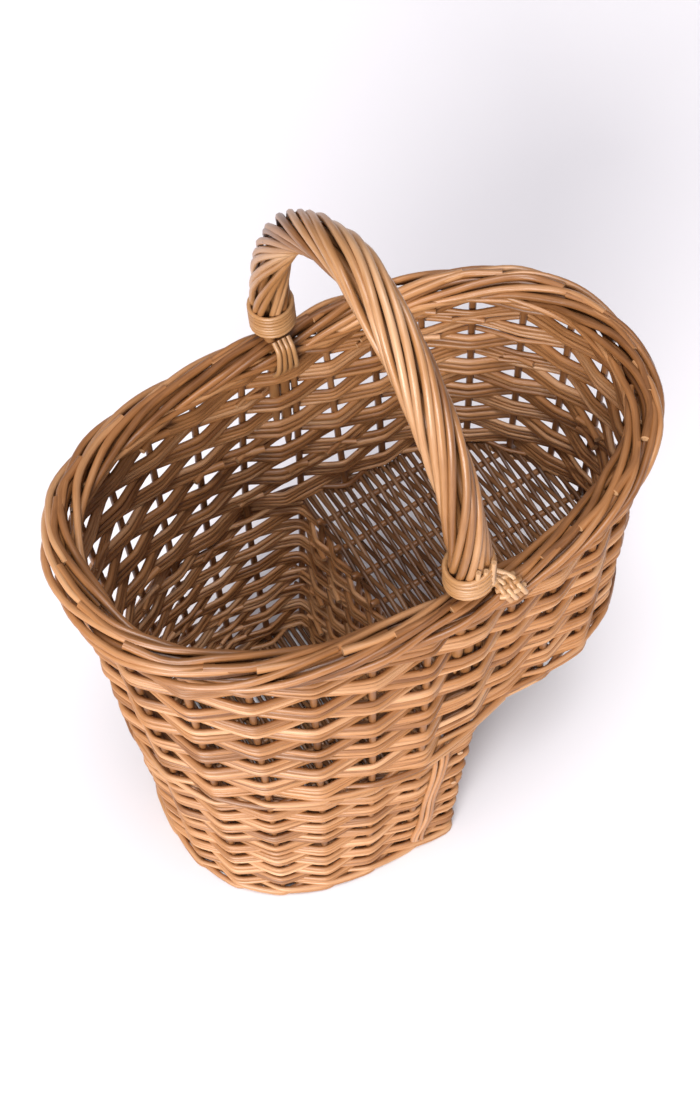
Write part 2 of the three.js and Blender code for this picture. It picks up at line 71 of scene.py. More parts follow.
def long_stake_centres(node):
    """A long stake's four points: riser foot, riser top, foot of the rear wall, rear top."""
    places = np.array([v.co for v in nodes[node].data.vertices], float)
    places = np.unique(np.round(places, 5), axis=0)
    low, high = places[:, 2].min(), places[:, 2].max()
    middle = places[(places[:, 2] > low + END_ZONE) & (places[:, 2] < high - END_ZONE)]
    halfway = (middle[:, 0].min() + middle[:, 0].max()) / 2
    groups = [
        places[places[:, 2] < low + END_ZONE],
        middle[middle[:, 0] < halfway],
        middle[middle[:, 0] > halfway],
        places[places[:, 2] > high - END_ZONE],
    ]
    return np.array([group.mean(0) for group in groups])


front_lines = [section_centres(f"stake_front_{i + 1}") for i in range(STAKES_PER_HALF)]
near_side = [section_centres(f"stake_side_near_{i + 1}") for i in range(SIDE_STAKES)]
far_side = [section_centres(f"stake_side_far_{i + 1}") for i in range(SIDE_STAKES)]
long_lines = [long_stake_centres(f"long_stake_{i + 1}") for i in range(LONG_STAKES)]
post_lines = {side: section_centres(f"post_{side}") for side in ("near", "far")}
rear_lines = near_side + [line[2:] for line in long_lines] + far_side[::-1]


class Value:
    """An output of a node. Arithmetic on it adds the Math nodes that work it out."""

    def __init__(self, maker, socket):
        self.maker = maker
        self.socket = socket

    def __add__(self, other):
        return self.maker.maths("ADD", self, other)

    def __sub__(self, other):
        return self.maker.maths("SUBTRACT", self, other)

    def __mul__(self, other):
        return self.maker.maths("MULTIPLY", self, other)

    def __gt__(self, other):
        return self.maker.maths("GREATER_THAN", self, other)

    def __lt__(self, other):
        return self.maker.maths("LESS_THAN", self, other)


class Maker:
    """Adds nodes to one tree, a shader's or a geometry tree's."""

    def __init__(self, tree):
        self.tree = tree

    def node(self, kind, settings=None, inputs=None, output=0):
        made = self.tree.nodes.new(kind)
        for name, setting in (settings or {}).items():
            if name == "stops":
                set_stops(made.color_ramp, setting)
            else:
                setattr(made, name, setting)
        for name, value in (inputs or {}).items():
            if isinstance(value, Value):
                self.tree.links.new(value.socket, made.inputs[name])
            else:
                made.inputs[name].default_value = value
        return Value(self, made.outputs[output]) if made.outputs else None

    def maths(self, operation, first, second):
        return self.node("ShaderNodeMath", {"operation": operation}, {0: first, 1: second})

    def vector_maths(self, operation, first, second, output=0):
        settings = {"operation": operation}
        return self.node("ShaderNodeVectorMath", settings, {0: first, 1: second}, output)

    def mix(self, share, first, second):
        settings = {"data_type": "RGBA"}
        return self.node("ShaderNodeMix", settings, {0: share, 6: first, 7: second}, 2)


def set_stops(ramp, stops):
    """Gives a colour ramp its stops, each a position and a colour."""
    while len(ramp.elements) > 1:
        ramp.elements.remove(ramp.elements[-1])
    ramp.elements[0].position, ramp.elements[0].color = stops[0]
    for position, colour in stops[1:]:
        ramp.elements.new(position).color = colour


def opaque(red, green, blue):
    return (red, green, blue, 1.0)


CUT_FACE = opaque(0.44, 0.25, 0.125)
PITH = opaque(0.30, 0.16, 0.07)
KNOT = opaque(0.12, 0.05, 0.02)
KNOT_RARITY = 0.965
KNOT_SIZE = 0.17


def willow(name, dark, middle, pale, roughness=0.43):
    """Peeled willow: tone differs from rod to rod, the grain runs along the rod, small
    dark knots are scattered, and a cut end shows pale wood round its pith."""
    material = bpy.data.materials.new(name)
    material.use_nodes = True
    material.node_tree.nodes.clear()
    make = Maker(material.node_tree)
    tint = make.node("ShaderNodeAttribute", {"attribute_name": "tint"}, output="Fac")
    along = make.node("ShaderNodeAttribute", {"attribute_name": "along"}, output="Fac")
    around = make.node("ShaderNodeAttribute", {"attribute_name": "around"}, output="Vector")
    place = make.node("ShaderNodeTexCoord", output="Object")

    def rod_place(stretch, turn):
        """Runs along and round the rod, and starts at a different spot on each rod."""
        length = make.node("ShaderNodeCombineXYZ", None, {"Z": along * stretch + tint * 67.0})
        ring = make.vector_maths("MULTIPLY", around, (turn, turn, turn))
        return make.vector_maths("ADD", ring, length)

    grain_inputs = {"Vector": rod_place(24.0, 1.0), "Scale": 3.2, "Detail": 4.0}
    grain = make.node("ShaderNodeTexNoise", None, grain_inputs)
    cloud_inputs = {"Vector": place, "Scale": 34.0, "Detail": 2.0}
    cloud = make.node("ShaderNodeTexNoise", None, cloud_inputs)
    stretch_inputs = {"Vector": rod_place(9.0, 0.35), "Scale": 1.0, "Detail": 1.0}
    patch = make.node("ShaderNodeTexNoise", None, stretch_inputs)
    tone = tint * 0.80 + (grain - 0.5) * 0.50 + (cloud - 0.5) * 0.35 + (patch - 0.5) * 0.85 + 0.10
    stops = [(0.0, dark), (0.5, middle), (1.0, pale)]
    bark = make.node("ShaderNodeValToRGB", {"stops": stops}, {"Fac": tone})

    voronoi_inputs = {"Vector": rod_place(150.0, 0.6), "Scale": 1.0}
    knot_distance = make.node("ShaderNodeTexVoronoi", None, voronoi_inputs)
    cell = make.node("ShaderNodeTexVoronoi", None, voronoi_inputs, "Color")
    chosen = make.node("ShaderNodeSeparateColor", None, {"Color": cell}) > KNOT_RARITY
    knot = chosen * (knot_distance < KNOT_SIZE)
    knotted = make.mix(knot * 0.8, bark, KNOT)

    centre = make.vector_maths("LENGTH", around, (0.0, 0.0, 0.0), "Value")
    cut_face = make.mix(centre < 0.2, CUT_FACE, PITH)
    colour = make.mix(centre < 0.9, knotted, cut_face)

    height = grain * 0.7 + patch * 0.5 - knot * 0.5
    bump_inputs = {"Strength": 0.35, "Distance": 0.0006, "Height": height}
    normal = make.node("ShaderNodeBump", None, bump_inputs)
    shader_inputs = {
        "Base Color": colour,
        "Roughness": (grain - 0.5) * 0.25 + roughness,
        "Normal": normal,
        "Specular IOR Level": 0.6,
    }
    shader = make.node("ShaderNodeBsdfPrincipled", None, shader_inputs)
    make.node("ShaderNodeOutputMaterial", None, {"Surface": shader})
    return material


def rod_tree():
    """The geometry tree that turns centre lines into round rods with a slight wander."""
    tree = bpy.data.node_groups.new("willow_rods", "GeometryNodeTree")
    sockets = [
        ("Lines", "NodeSocketGeometry"),
        ("Sides", "NodeSocketInt"),
        ("Wander", "NodeSocketFloat"),
        ("Wander Scale", "NodeSocketFloat"),
        ("Seed", "NodeSocketFloat"),
        ("Willow", "NodeSocketMaterial"),
    ]
    for name, kind in sockets:
        tree.interface.new_socket(name, in_out="INPUT", socket_type=kind)
    tree.interface.new_socket("Rods", in_out="OUTPUT", socket_type="NodeSocketGeometry")
    make = Maker(tree)
    given = tree.nodes.new("NodeGroupInput")
    wanted = {name: Value(make, given.outputs[name]) for name, _ in sockets}

    def attribute(name):
        settings = {"data_type": "FLOAT"}
        return make.node("GeometryNodeInputNamedAttribute", settings, {"Name": name})

    def keep(geometry, name, value, kind="FLOAT"):
        inputs = {"Geometry": geometry, "Name": name, "Value": value}
        return make.node("GeometryNodeStoreNamedAttribute", {"data_type": kind}, inputs)

    curves = make.node("GeometryNodeMeshToCurve", None, {"Mesh": wanted["Lines"]})
    noise_inputs = {
        "Vector": make.node("GeometryNodeInputPosition"),
        "W": attribute("tint") * 50.0 + wanted["Seed"],
        "Scale": wanted["Wander Scale"],
        "Detail": 0.0,
    }
    noise = make.node("ShaderNodeTexNoise", {"noise_dimensions": "4D"}, noise_inputs, "Color")
    centred = make.vector_maths("SUBTRACT", noise, (0.5, 0.5, 0.5))
    scale_inputs = {0: centred, "Scale": wanted["Wander"]}
    offset = make.node("ShaderNodeVectorMath", {"operation": "SCALE"}, scale_inputs)
    moved = make.node("GeometryNodeSetPosition", None, {"Geometry": curves, "Offset": offset})
    thick_inputs = {"Curve": moved, "Radius": attribute("thickness")}
    thick = make.node("GeometryNodeSetCurveRadius", None, thick_inputs)
    along = make.node("GeometryNodeSplineParameter", output="Length")
    measured = keep(thick, "along", along)

    circle_inputs = {"Resolution": wanted["Sides"], "Radius": 1.0}
    circle = make.node("GeometryNodeCurvePrimitiveCircle", None, circle_inputs)
    ring_place = make.node("GeometryNodeInputPosition")
    profile = keep(circle, "around", ring_place, "FLOAT_VECTOR")
    sweep_inputs = {
        "Curve": measured,
        "Profile Curve": profile,
        "Scale": attribute("thickness"),
        "Fill Caps": True,
    }
    swept = make.node("GeometryNodeCurveToMesh", None, sweep_inputs)
    real = make.node("GeometryNodeRealizeInstances", None, {"Geometry": swept})
    finish_inputs = {"Geometry": real, "Material": wanted["Willow"]}
    finished = make.node("GeometryNodeSetMaterial", None, finish_inputs)
    result = tree.nodes.new("NodeGroupOutput")
    tree.links.new(finished.socket, result.inputs["Rods"])
    return tree


ROD_TREE = rod_tree()
CUT_EDGE = math.radians(62)


def make_rods(name, rods, material, seed, wander=0.6 * MM, sides=8):
    """One piece made of many rods. Each rod is its centre line, its thickness along the
    line as a radius, and its tint from 0, dark, to 1, pale."""
    lengths = [len(line) for line, _, _ in rods]
    starts = np.cumsum([0] + lengths[:-1])
    edges = [
        (start + i, start + i + 1)
        for start, length in zip(starts, lengths)
        for i in range(length - 1)
    ]
    lines = bpy.data.meshes.new(name)
    lines.from_pydata(np.vstack([line for line, _, _ in rods]).tolist(), edges, [])
    radii = np.concatenate([np.broadcast_to(r, len(line)) for line, r, _ in rods])
    tints = np.concatenate([np.full(len(line), tint) for line, _, tint in rods])
    for attribute, values in (("thickness", radii), ("tint", tints)):
        stored = lines.attributes.new(attribute, "FLOAT", "POINT")
        stored.data.foreach_set("value", values.astype(np.float32))
    piece = bpy.data.objects.new(name, lines)
    bpy.context.scene.collection.objects.link(piece)
    modifier = piece.modifiers.new("rods", "NODES")
    modifier.node_group = ROD_TREE
    wanted = {"Sides": sides, "Wander": wander, "Wander Scale": 28.0, "Seed": float(seed)}
    wanted["Willow"] = material
    for socket in ROD_TREE.interface.items_tree:
        if socket.name in wanted:
            modifier[socket.identifier] = wanted[socket.name]
    ready = piece.evaluated_get(bpy.context.evaluated_depsgraph_get())
    mesh = bpy.data.meshes.new_from_object(ready)
    piece.modifiers.clear()
    piece.data = mesh
    mesh.shade_smooth()
    mesh.set_sharp_from_angle(angle=CUT_EDGE)
    return piece


def fit(piece, slot, *replaced):
    """Every piece belongs to the one rigid body, the basket."""
    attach(piece, "root")
    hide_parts(*replaced)


def smooth_line(points, steps):
    """A soft curve through the points, with steps pieces from each to the next."""
    points = np.asarray(points, float)
    padded = np.vstack([2 * points[0] - points[1], points, 2 * points[-1] - points[-2]])
    made = []
    for before, start, end, after in zip(padded, padded[1:], padded[2:], padded[3:]):
        for step in range(steps):
            t = step / steps
            made.append(
                0.5
                * (
                    2 * start
                    + (end - before) * t
                    + (2 * before - 5 * start + 4 * end - after) * t**2
                    + (3 * start - before - 3 * end + after) * t**3
                )
            )
    made.append(points[-1])
    return np.array(made)


chance = np.random.default_rng(20)

STAKE_TINTS = (0.15, 0.6)
stake_willow = willow(
    "stake_willow",
    opaque(0.102, 0.036, 0.00843),
    opaque(0.246, 0.102, 0.0332),
    opaque(0.374, 0.187, 0.0782),
)


def straight_stake(line):
    """A stake through its points, a little thicker at its foot than at its top."""
    points = smooth_line(line, 8)
    radii = np.linspace(1.05, 0.95, len(points)) * STAKE_RADIUS
    return points, radii, chance.uniform(*STAKE_TINTS)


stakes = [straight_stake(line) for line in front_lines + near_side + far_side]
stakes += [straight_stake(line) for line in post_lines.values()]
front_names = [f"stake_front_{i + 1}" for i in range(STAKES_PER_HALF)]
side_names = [f"stake_side_{s}_{i + 1}" for s in ("near", "far") for i in range(SIDE_STAKES)]
piece = make_rods("stakes", stakes, stake_willow, 1)
fit(piece, "stake_rods", *front_names, *side_names, "post_near", "post_far")


# ---------------------------------------------------------------------------------------
# Long stakes: each climbs the wall between the two halves, is bent over to lie under the
# shallow floor as one of its sticks, and is bent up again in the rear wall.
# ---------------------------------------------------------------------------------------
BEND = 9 * MM


def rounded(points, bend):
    """A line through the points with each corner cut short, so that it bends softly."""
    made = [points[0]]
    for before, corner, after in zip(points, points[1:], points[2:]):
        for other in (before, after):
            away = other - corner
            made.append(corner + away / np.linalg.norm(away) * bend)
    made.append(points[-1])
    return np.array(made)


long_stakes = [
    (smooth_line(rounded(line, BEND), 6), STAKE_RADIUS, chance.uniform(*STAKE_TINTS))
    for line in long_lines
]
piece = make_rods("long_stakes", long_stakes, stake_willow, 2)
fit(piece, "stake_rods", *[f"long_stake_{i + 1}" for i in range(LONG_STAKES)])


# ---------------------------------------------------------------------------------------
# Upper and lower weaving: bands of thin rods worked in front of one stake and behind the
# next, so close that light shows only beside the stakes. Three more rods come down the
# outside beside the near corner and tuck in at the foot.
# ---------------------------------------------------------------------------------------
BOW_OFFSETS = (-16.2 * MM, -7.8 * MM)
UPPER_BANDS = 12
LOWER_BANDS = 15
UPPER_BAND_RODS = (3, 3, 4)
LOWER_BAND_RODS = (3, 3, 3)
BAND_FILL = 1.1
PRESSED = 0.86
CORNER_RODS = 3
CORNER_ROD_RADIUS = 1.9 * MM
SPAN_STEPS = (0.0, 0.09, 0.22, 0.5, 0.78, 0.91)
BEND_SHARPNESS = 0.56
HANDLE_CLEARANCE = 1.2 * MM
SWAY = 0.45
DRIFT = 0.55
TAIL_SHARES = (0.25, 0.4)
TAIL_INWARD = 1.5 * MM
CORNER_PLACE = -0.62
CORNER_PITCH = 0.11
CORNER_ROUTE = (
    (0.12, 175, 0, 1.0), (0.1, 166, 0, 5.4), (0.06, 140, 0, 7.0), (-0.02, 100, 0, 6.6),
    (-0.04, 62, 0, 7.4), (-0.12, 34, 0, 6.8), (-0.1, 16, 3, 6.2), (0.1, 7, 3, 3.0))

weaving_willow = willow(
    "weaving_willow",
    opaque(0.167, 0.0594, 0.0142),
    opaque(0.387, 0.17, 0.0583),
    opaque(0.581, 0.328, 0.17),
)


def at_height(line, z):
    """The point of a rising line that lies at height z."""
    index = 0
    while index < len(line) - 2 and line[index + 1][2] < z:
        index += 1
    low, high = line[index], line[index + 1]
    return low + (high - low) * ((z - low[2]) / (high[2] - low[2]))


def handle_places(side):
    """The handle's foot counts as one wide stake: its outer bow rod and the post."""
    post = post_lines[side][1:]
    bow = post + np.array([BOW_OFFSETS[0], 0.0, 0.0])
    return [bow, post] if side == "near" else [post, bow]


upper_ring = handle_places("near") + rear_lines + handle_places("far") + front_lines[::-1]
riser_lines = [line[:2] for line in long_lines]
lower_ring = [post_lines["near"]] + riser_lines + [post_lines["far"]] + front_lines[::-1]

every_other = [i % 2 == 0 for i in range(STAKES_PER_HALF)]
upper_outside = [False, False] + every_other + [False, False] + every_other
riser_outside = [i % 2 == 0 for i in range(LONG_STAKES)]
lower_outside = [False] + riser_outside + [False] + every_other

rim_samples = np.array([line[-1] for line in upper_ring])
STAKE_TOP_DROP = 9 * MM
rim_fit = np.polyfit(rim_samples[:, 0], rim_samples[:, 2] + STAKE_TOP_DROP, 2)


def rim_height(x):
    """The top of the border: it dips at the handle and rises towards both ends."""
    return np.polyval(rim_fit, x)


def ring_point(ring, share, height, out):
    """A point of the wall: share counts the stakes passed, height is a height or a
    function of x, and out is how far it lies outside the line of the stakes."""
    count = len(ring)
    index = int(math.floor(share))

    def corner(i):
        line = ring[i % count]
        z = height(line[-1][0]) if callable(height) else height
        return at_height(line, z)

    before, start, end, after = (corner(index + i) for i in (-1, 0, 1, 2))
    t = share - index
    point = start + (end - start) * t
    square = np.array([(end - start)[1], -(end - start)[0], 0.0])
    first = np.array([(start - before)[1], -(start - before)[0], 0.0])
    last = np.array([(after - end)[1], -(after - end)[0], 0.0])
    for side in (square, first, last):
        side /= np.linalg.norm(side)
    outward = (first + square) * (1 - t) + (square + last) * t
    return point + outward / np.linalg.norm(outward) * out


def woven_line(controls):
    """Runs nearly straight from stake to stake and bends where it rounds each of them."""
    controls = np.asarray(controls, float)
    ahead = np.vstack([controls[1:], controls[-1:]])
    behind = np.vstack([controls[:1], controls[:-1]])
    headings = ahead - behind
    headings /= np.linalg.norm(headings, axis=1)[:, None]
    made = []
    for i in range(len(controls) - 1):
        start, end = controls[i], controls[i + 1]
        pull = np.linalg.norm(end - start) * BEND_SHARPNESS
        for t in SPAN_STEPS:
            made.append(
                start * (2 * t**3 - 3 * t**2 + 1)
                + end * (3 * t**2 - 2 * t**3)
                + headings[i] * pull * (t**3 - 2 * t**2 + t)
                + headings[i + 1] * pull * (t**3 - t**2)
            )
    made.append(controls[-1])
    return np.array(made)


def band(ring, outside, height, depth, swap, count):
    """One band of rods side by side, each laid once round the ring and ended inside."""
    rods = []
    radius = depth * BAND_FILL / (2 * count)
    places = len(ring)
    inside = [i for i in range(places) if outside[i] == swap]
    for rod in range(count):
        start = int(chance.choice(inside))
        level = (rod - (count - 1) / 2) * depth / count * BAND_FILL
        controls = []
        for step in range(places + 1):
            index = (start + step) % places
            is_outside = outside[index] != swap
            reach = (STAKE_RADIUS + radius) * PRESSED
            if index in (0, 1) and ring is upper_ring:
                reach += HANDLE_CLEARANCE
            out = reach if is_outside else -reach
            out += chance.normal(0, SWAY) * MM
            drift = level + chance.normal(0, DRIFT) * MM
            lift = (lambda x, drift=drift: height(x) + drift)
            controls.append(ring_point(ring, index, lift, out))
        controls = np.array(controls)
        for tip, other in ((0, 1), (-1, -2)):
            inward = -controls[tip] * np.array([1.0, 1.0, 0.0])
            inward /= np.linalg.norm(inward)
            run_on = controls[tip] - controls[other]
            tail = controls[tip] + run_on * chance.uniform(*TAIL_SHARES)
            tail += inward * TAIL_INWARD
            controls = np.vstack([tail, controls] if tip == 0 else [controls, tail])
        line = woven_line(controls)
        radii = np.linspace(1.1, 0.86, len(line)) * radius
        rods.append((line, radii, chance.beta(2.0, 2.4)))
    return rods


def weaving(ring, outside, bands, low, high, counts):
    """Fills a wall with bands, from the height low to high, a function of x."""
    rods = []
    for row in range(bands):
        share = (row + 0.5) / bands
        depth = (high(0.0) - low) / bands

        def height(x, share=share):
            return low + (high(x) - low) * share

        count = int(chance.choice(counts))
        rods += band(ring, outside, height, depth, row % 2 == 1, count)
    return rods


def corner_rod(rod):
    """A rod down the corner. Its route gives places along the ring, heights, how much
    higher each next rod lies there, and how far out, the last three in millimetres."""
    share = CORNER_PLACE - CORNER_PITCH * rod
    points = []
    for place, z, step, out in CORNER_ROUTE:
        place = share + place + chance.normal(0, 0.012)
        points.append(ring_point(lower_ring, place, (z + step * rod) * MM, out * MM))
    return smooth_line(points, 6), CORNER_ROD_RADIUS, chance.uniform(0.3, 0.7)


wale_low, wale_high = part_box("step_wale")
foot_low, foot_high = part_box("foot_wale")
BORDER_DEPTH = 15 * MM


def upper_ceiling(x):
    return rim_height(x) - BORDER_DEPTH - 1 * MM


upper_rods = weaving(
    upper_ring, upper_outside, UPPER_BANDS, wale_high[2], upper_ceiling, UPPER_BAND_RODS)
piece = make_rods("upper_weaving", upper_rods, weaving_willow, 3)
fit(piece, "weaving_rods", "upper_weaver_a", "upper_weaver_b")

lower_rods = weaving(
    lower_ring, lower_outside, LOWER_BANDS, foot_high[2], lambda x: wale_low[2],
    LOWER_BAND_RODS)
lower_rods += [corner_rod(rod) for rod in range(CORNER_RODS)]
piece = make_rods("lower_weaving", lower_rods, weaving_willow, 4)
fit(piece, "weaving_rods", "lower_weaver_a", "lower_weaver_b")


# ---------------------------------------------------------------------------------------
# Wales: two rounds of three rods each, worked in turn in front of two stakes and behind
# one, so that they lie like a rope. One wale stands on the ground, one rings the step level.
# ---------------------------------------------------------------------------------------
WALE_RADIUS = 2.2 * MM
WALE_ROUNDS = (0.27, 0.73)
WALE_OUT = (-4.6, 4.6, 5.4)
WALE_LIFT = (0.0, 1.5, -1.5)

wale_willow = willow(
    "wale_willow",
    opaque(0.15, 0.0523, 0.012),
    opaque(0.352, 0.153, 0.0515),
    opaque(0.528, 0.293, 0.146),
)


def wale(ring, low, high, radius):
    """Two rounds of three rods, each behind one stake and in front of the next two."""
    rods = []
    places = len(ring)
    for share in WALE_ROUNDS:
        middle = low + (high - low) * share
        for rod in range(3):
            start = rod + int(chance.integers(0, places // 3)) * 3
            controls = []
            for step in range(places + 2):
                phase = step % 3
                out = WALE_OUT[phase] * MM + chance.normal(0, 0.25) * MM
                lift = WALE_LIFT[phase] * MM
                controls.append(ring_point(ring, (start + step) % places, middle + lift, out))
            line = woven_line(controls)
            rods.append((line, np.linspace(1.05, 0.9, len(line)) * radius, chance.beta(2, 2)))
    return rods


step_ring = [post_lines["near"]] + rear_lines + [post_lines["far"]] + front_lines[::-1]
step_wale = wale(step_ring, wale_low[2] - 1 * MM, wale_high[2] + 1 * MM, WALE_RADIUS)
piece = make_rods("step_wale_rods", step_wale, wale_willow, 5)
fit(piece, "wale_rods", "step_wale")
foot_wale = wale(lower_ring, foot_low[2] + 2.2 * MM, foot_high[2] + 1 * MM, WALE_RADIUS)
piece = make_rods("foot_wale_rods", foot_wale, wale_willow, 6, wander=0.3 * MM)
fit(piece, "wale_rods", "foot_wale")


# ---------------------------------------------------------------------------------------
# Floors: thin rods woven across the sticks, their colour darkened as painted shade for the
# inside of the basket. The shallow floor's sticks are the long stakes; the deep floor has short
# sticks of its own.
# ---------------------------------------------------------------------------------------
FLOOR_ROD_RADIUS = 1.9 * MM
FLOOR_PITCH = 3.5 * MM
FLOOR_EDGE = 5 * MM
FLOOR_GAP = 1 * MM
FLOOR_PRESS = 0.6 * MM
WALL_CLEARANCE = 9 * MM
FOOT_STICKS = 5

# Painted shade: the floor rods are the same willow as the walls, and these darker colours stand
# in for the shade inside the basket.
floor_willow_painted_shade = willow(
    "floor_willow_painted_shade",
    opaque(0.0504, 0.0168, 0.00402),
    opaque(0.13, 0.0514, 0.0157),
    opaque(0.238, 0.113, 0.045),
    roughness=0.5,
)


def outline_width(points, x):
    """Half the floor's width at x: where the line of the wall's stakes crosses it."""
    order = np.argsort(points[:, 0])
    return float(np.interp(x, points[order, 0], np.abs(points[order, 1])))


def floor_rods(start, end, sticks, outline, z):
    """Rods across a floor from x = start to x = end, each over and under the sticks."""
    rods = []
    count = int(abs(end - start) / FLOOR_PITCH)
    lift = STAKE_RADIUS + FLOOR_ROD_RADIUS - FLOOR_PRESS
    for row in range(count + 1):
        x = start + (end - start) * row / count
        half = outline_width(outline, x) - FLOOR_GAP
        crossings = [np.interp(x, [a[0], b[0]], [a[1], b[1]]) for a, b in sticks]
        ends = [-half - chance.uniform(-1, 1) * MM, half + chance.uniform(-1, 1) * MM]
        first, last = ends[0] + WALL_CLEARANCE, ends[1] - WALL_CLEARANCE
        inner = [(y, (i + row) % 2) for i, y in enumerate(crossings) if first < y < last]
        points = [np.array([x + chance.normal(0, 0.6) * MM, ends[0], z])]
        for y, over in inner:
            height = z + (lift if over else -lift)
            points.append(np.array([x + chance.normal(0, 0.5) * MM, y, height]))
        points.append(np.array([x + chance.normal(0, 0.6) * MM, ends[1], z]))
        line = woven_line(points)
        thickness = FLOOR_ROD_RADIUS * chance.uniform(0.85, 1.12)
        rods.append((line, np.linspace(1.08, 0.9, len(line)) * thickness, chance.beta(2, 2)))
    return rods


shallow_outline = np.array(
    [post_lines["near"][1]] + [line[0] for line in rear_lines[:7]])
shallow_sticks = [(line[1], line[2]) for line in long_lines]
shallow_low, shallow_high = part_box("shallow_floor_weave")
shallow_z = (shallow_low[2] + shallow_high[2]) / 2
step_edge = min(line[1][0] for line in long_lines)
rear_foot = max(line[2][0] for line in long_lines)
shallow_rods = floor_rods(
    step_edge, rear_foot - FLOOR_EDGE, shallow_sticks, shallow_outline, shallow_z)
piece = make_rods("shallow_floor", shallow_rods, floor_willow_painted_shade, 7)
fit(piece, "floor_rods", "shallow_floor_weave")

stick_names = [f"foot_stick_{i + 1}" for i in range(FOOT_STICKS)]
foot_sticks = []
for name in stick_names:
    low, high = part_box(name)
    y, z = (low[1] + high[1]) / 2, (low[2] + high[2]) / 2
    foot_sticks.append(np.array([[low[0], y, z], [high[0], y, z]]))
stick_rods = [(line, STAKE_RADIUS, chance.uniform(*STAKE_TINTS)) for line in foot_sticks]
piece = make_rods("deep_floor_sticks", stick_rods, stake_willow, 8)
fit(piece, "stake_rods", *stick_names)

deep_outline = np.array([line[0] for line in front_lines[:7]] + [post_lines["near"][0]])
deep_low, deep_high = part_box("foot_floor_weave")
deep_z = (deep_low[2] + deep_high[2]) / 2
front_foot = min(line[0][0] for line in front_lines)
riser_foot = max(line[0][0] for line in long_lines)
deep_rods = floor_rods(
    front_foot + FLOOR_EDGE, riser_foot, foot_sticks, deep_outline, deep_z)
piece = make_rods("deep_floor", deep_rods, floor_willow_painted_shade, 9)
fit(piece, "floor_rods", "foot_floor_weave")


# ---------------------------------------------------------------------------------------
# Border: four rods to each stake, worked along the rim. The outer ones rise over the
# outside, the top ones start with a cut butt and drift inwards, others line the inner
# edge, and darker ones fill the core, their dark tint painted shade in the gaps between the rods.
# ---------------------------------------------------------------------------------------
BORDER_ROD = 2.75 * MM
OUTER_COURSE = (
    (-0.3, 1.0, -18.0), (0.4, 9.6, -14.5), (1.2, 12.4, -9.0), (2.0, 10.6, -3.4),
    (2.8, 5.6, -0.6), (3.4, 0.8, -1.4))
TOP_COURSE = (
    (-0.2, 4.6, 0.6), (0.5, 2.8, -0.2), (1.2, -2.4, -1.4), (1.9, -7.2, -3.6),
    (2.7, -9.4, -8.0), (3.4, -7.0, -14.5))
INNER_COURSE = ((0.0, -1.0, -17.0), (0.8, -7.4, -15.0), (1.9, -9.4, -12.0), (2.8, -5.0, -9.5))
CORE_COURSE = ((-0.2, 2.0, -16.0), (0.8, 5.2, -9.0), (2.0, 1.2, -6.2), (3.0, -4.2, -9.6))
CORE_SHADE_TINT = (0.0, 0.3)
START_JITTER = 0.22
BORDER_SLACK = 0.75
BORDER_CREST = 2.0

border_willow = willow(
    "border_willow",
    opaque(0.117, 0.0405, 0.00949),
    opaque(0.315, 0.131, 0.0421),
    opaque(0.513, 0.273, 0.128),
    roughness=0.38,
)


def course(start, route, radius):
    """A border rod: its route gives places along the rim in stakes, how far out, and how
    far below the rim's top, the last two in millimetres."""
    points = []
    start += chance.uniform(-START_JITTER, START_JITTER)
    for share, out, below in route:
        out += chance.normal(0, BORDER_SLACK)
        below += chance.normal(0, BORDER_SLACK)
        below = min(below, BORDER_CREST - radius / MM)
        height = (lambda x, below=below: rim_height(x) + below * MM)
        points.append(ring_point(border_ring, start + share, height, out * MM))
    line = smooth_line(points, 5)
    return line, np.linspace(1.06, 0.84, len(line)) * radius, chance.beta(2, 2)


def bow_post(side):
    """Where the handle's foot stands in the rim, as one place."""
    bow, post = sorted(handle_places(side), key=lambda line: line[0][0])
    return (bow + post) / 2


border_ring = [bow_post("near")] + rear_lines + [bow_post("far")] + front_lines[::-1]
border_rods = []
for stake in range(len(border_ring)):
    border_rods.append(course(stake, OUTER_COURSE, BORDER_ROD))
    border_rods.append(course(stake + 0.5, TOP_COURSE, BORDER_ROD * 1.05))
    border_rods.append(course(stake, INNER_COURSE, BORDER_ROD * 0.9))
    core_line, core_radii, _ = course(stake + 0.3, CORE_COURSE, BORDER_ROD * 1.1)
    # Painted shade: the core rods get a dark tint so that the gaps between the border rods look
    # shaded.
    border_rods.append((core_line, core_radii, chance.uniform(*CORE_SHADE_TINT)))
piece = make_rods("border_rods", border_rods, border_willow, 10, wander=0.8 * MM)
fit(piece, "border_rods", "border_outer", "border_inner", "border_cap_rear", "border_cap_front")


# ---------------------------------------------------------------------------------------
# Handle bows: two thick rods side by side, bent to an arch, their pointed ends pushed
# down inside the wall beside the post.
# ---------------------------------------------------------------------------------------
BOW_RADIUS = 4.0 * MM
ARCH_ROUNDNESS = 1.75
ARCH_STEPS = 60
POINT_LENGTH = 28 * MM
LEG = 20 * MM
ARCH_STRETCH = 2.4
FINE_STEPS = 2000
POINT_RADIUS = 1.2 * MM

bow_low, bow_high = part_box("handle_bow_1")
other_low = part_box("handle_bow_2")[0]
collar_low, collar_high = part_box("collar_near")
handle_x = (collar_low[0] + collar_high[0]) / 2
leg_y = abs(collar_low[1] + collar_high[1]) / 2
arch_base = collar_low[2]
arch_top = bow_high[2] - BOW_RADIUS

bow_willow = willow(
    "bow_willow",
    opaque(0.119, 0.0421, 0.0105),
    opaque(0.246, 0.104, 0.0332),
    opaque(0.357, 0.183, 0.0743),
)


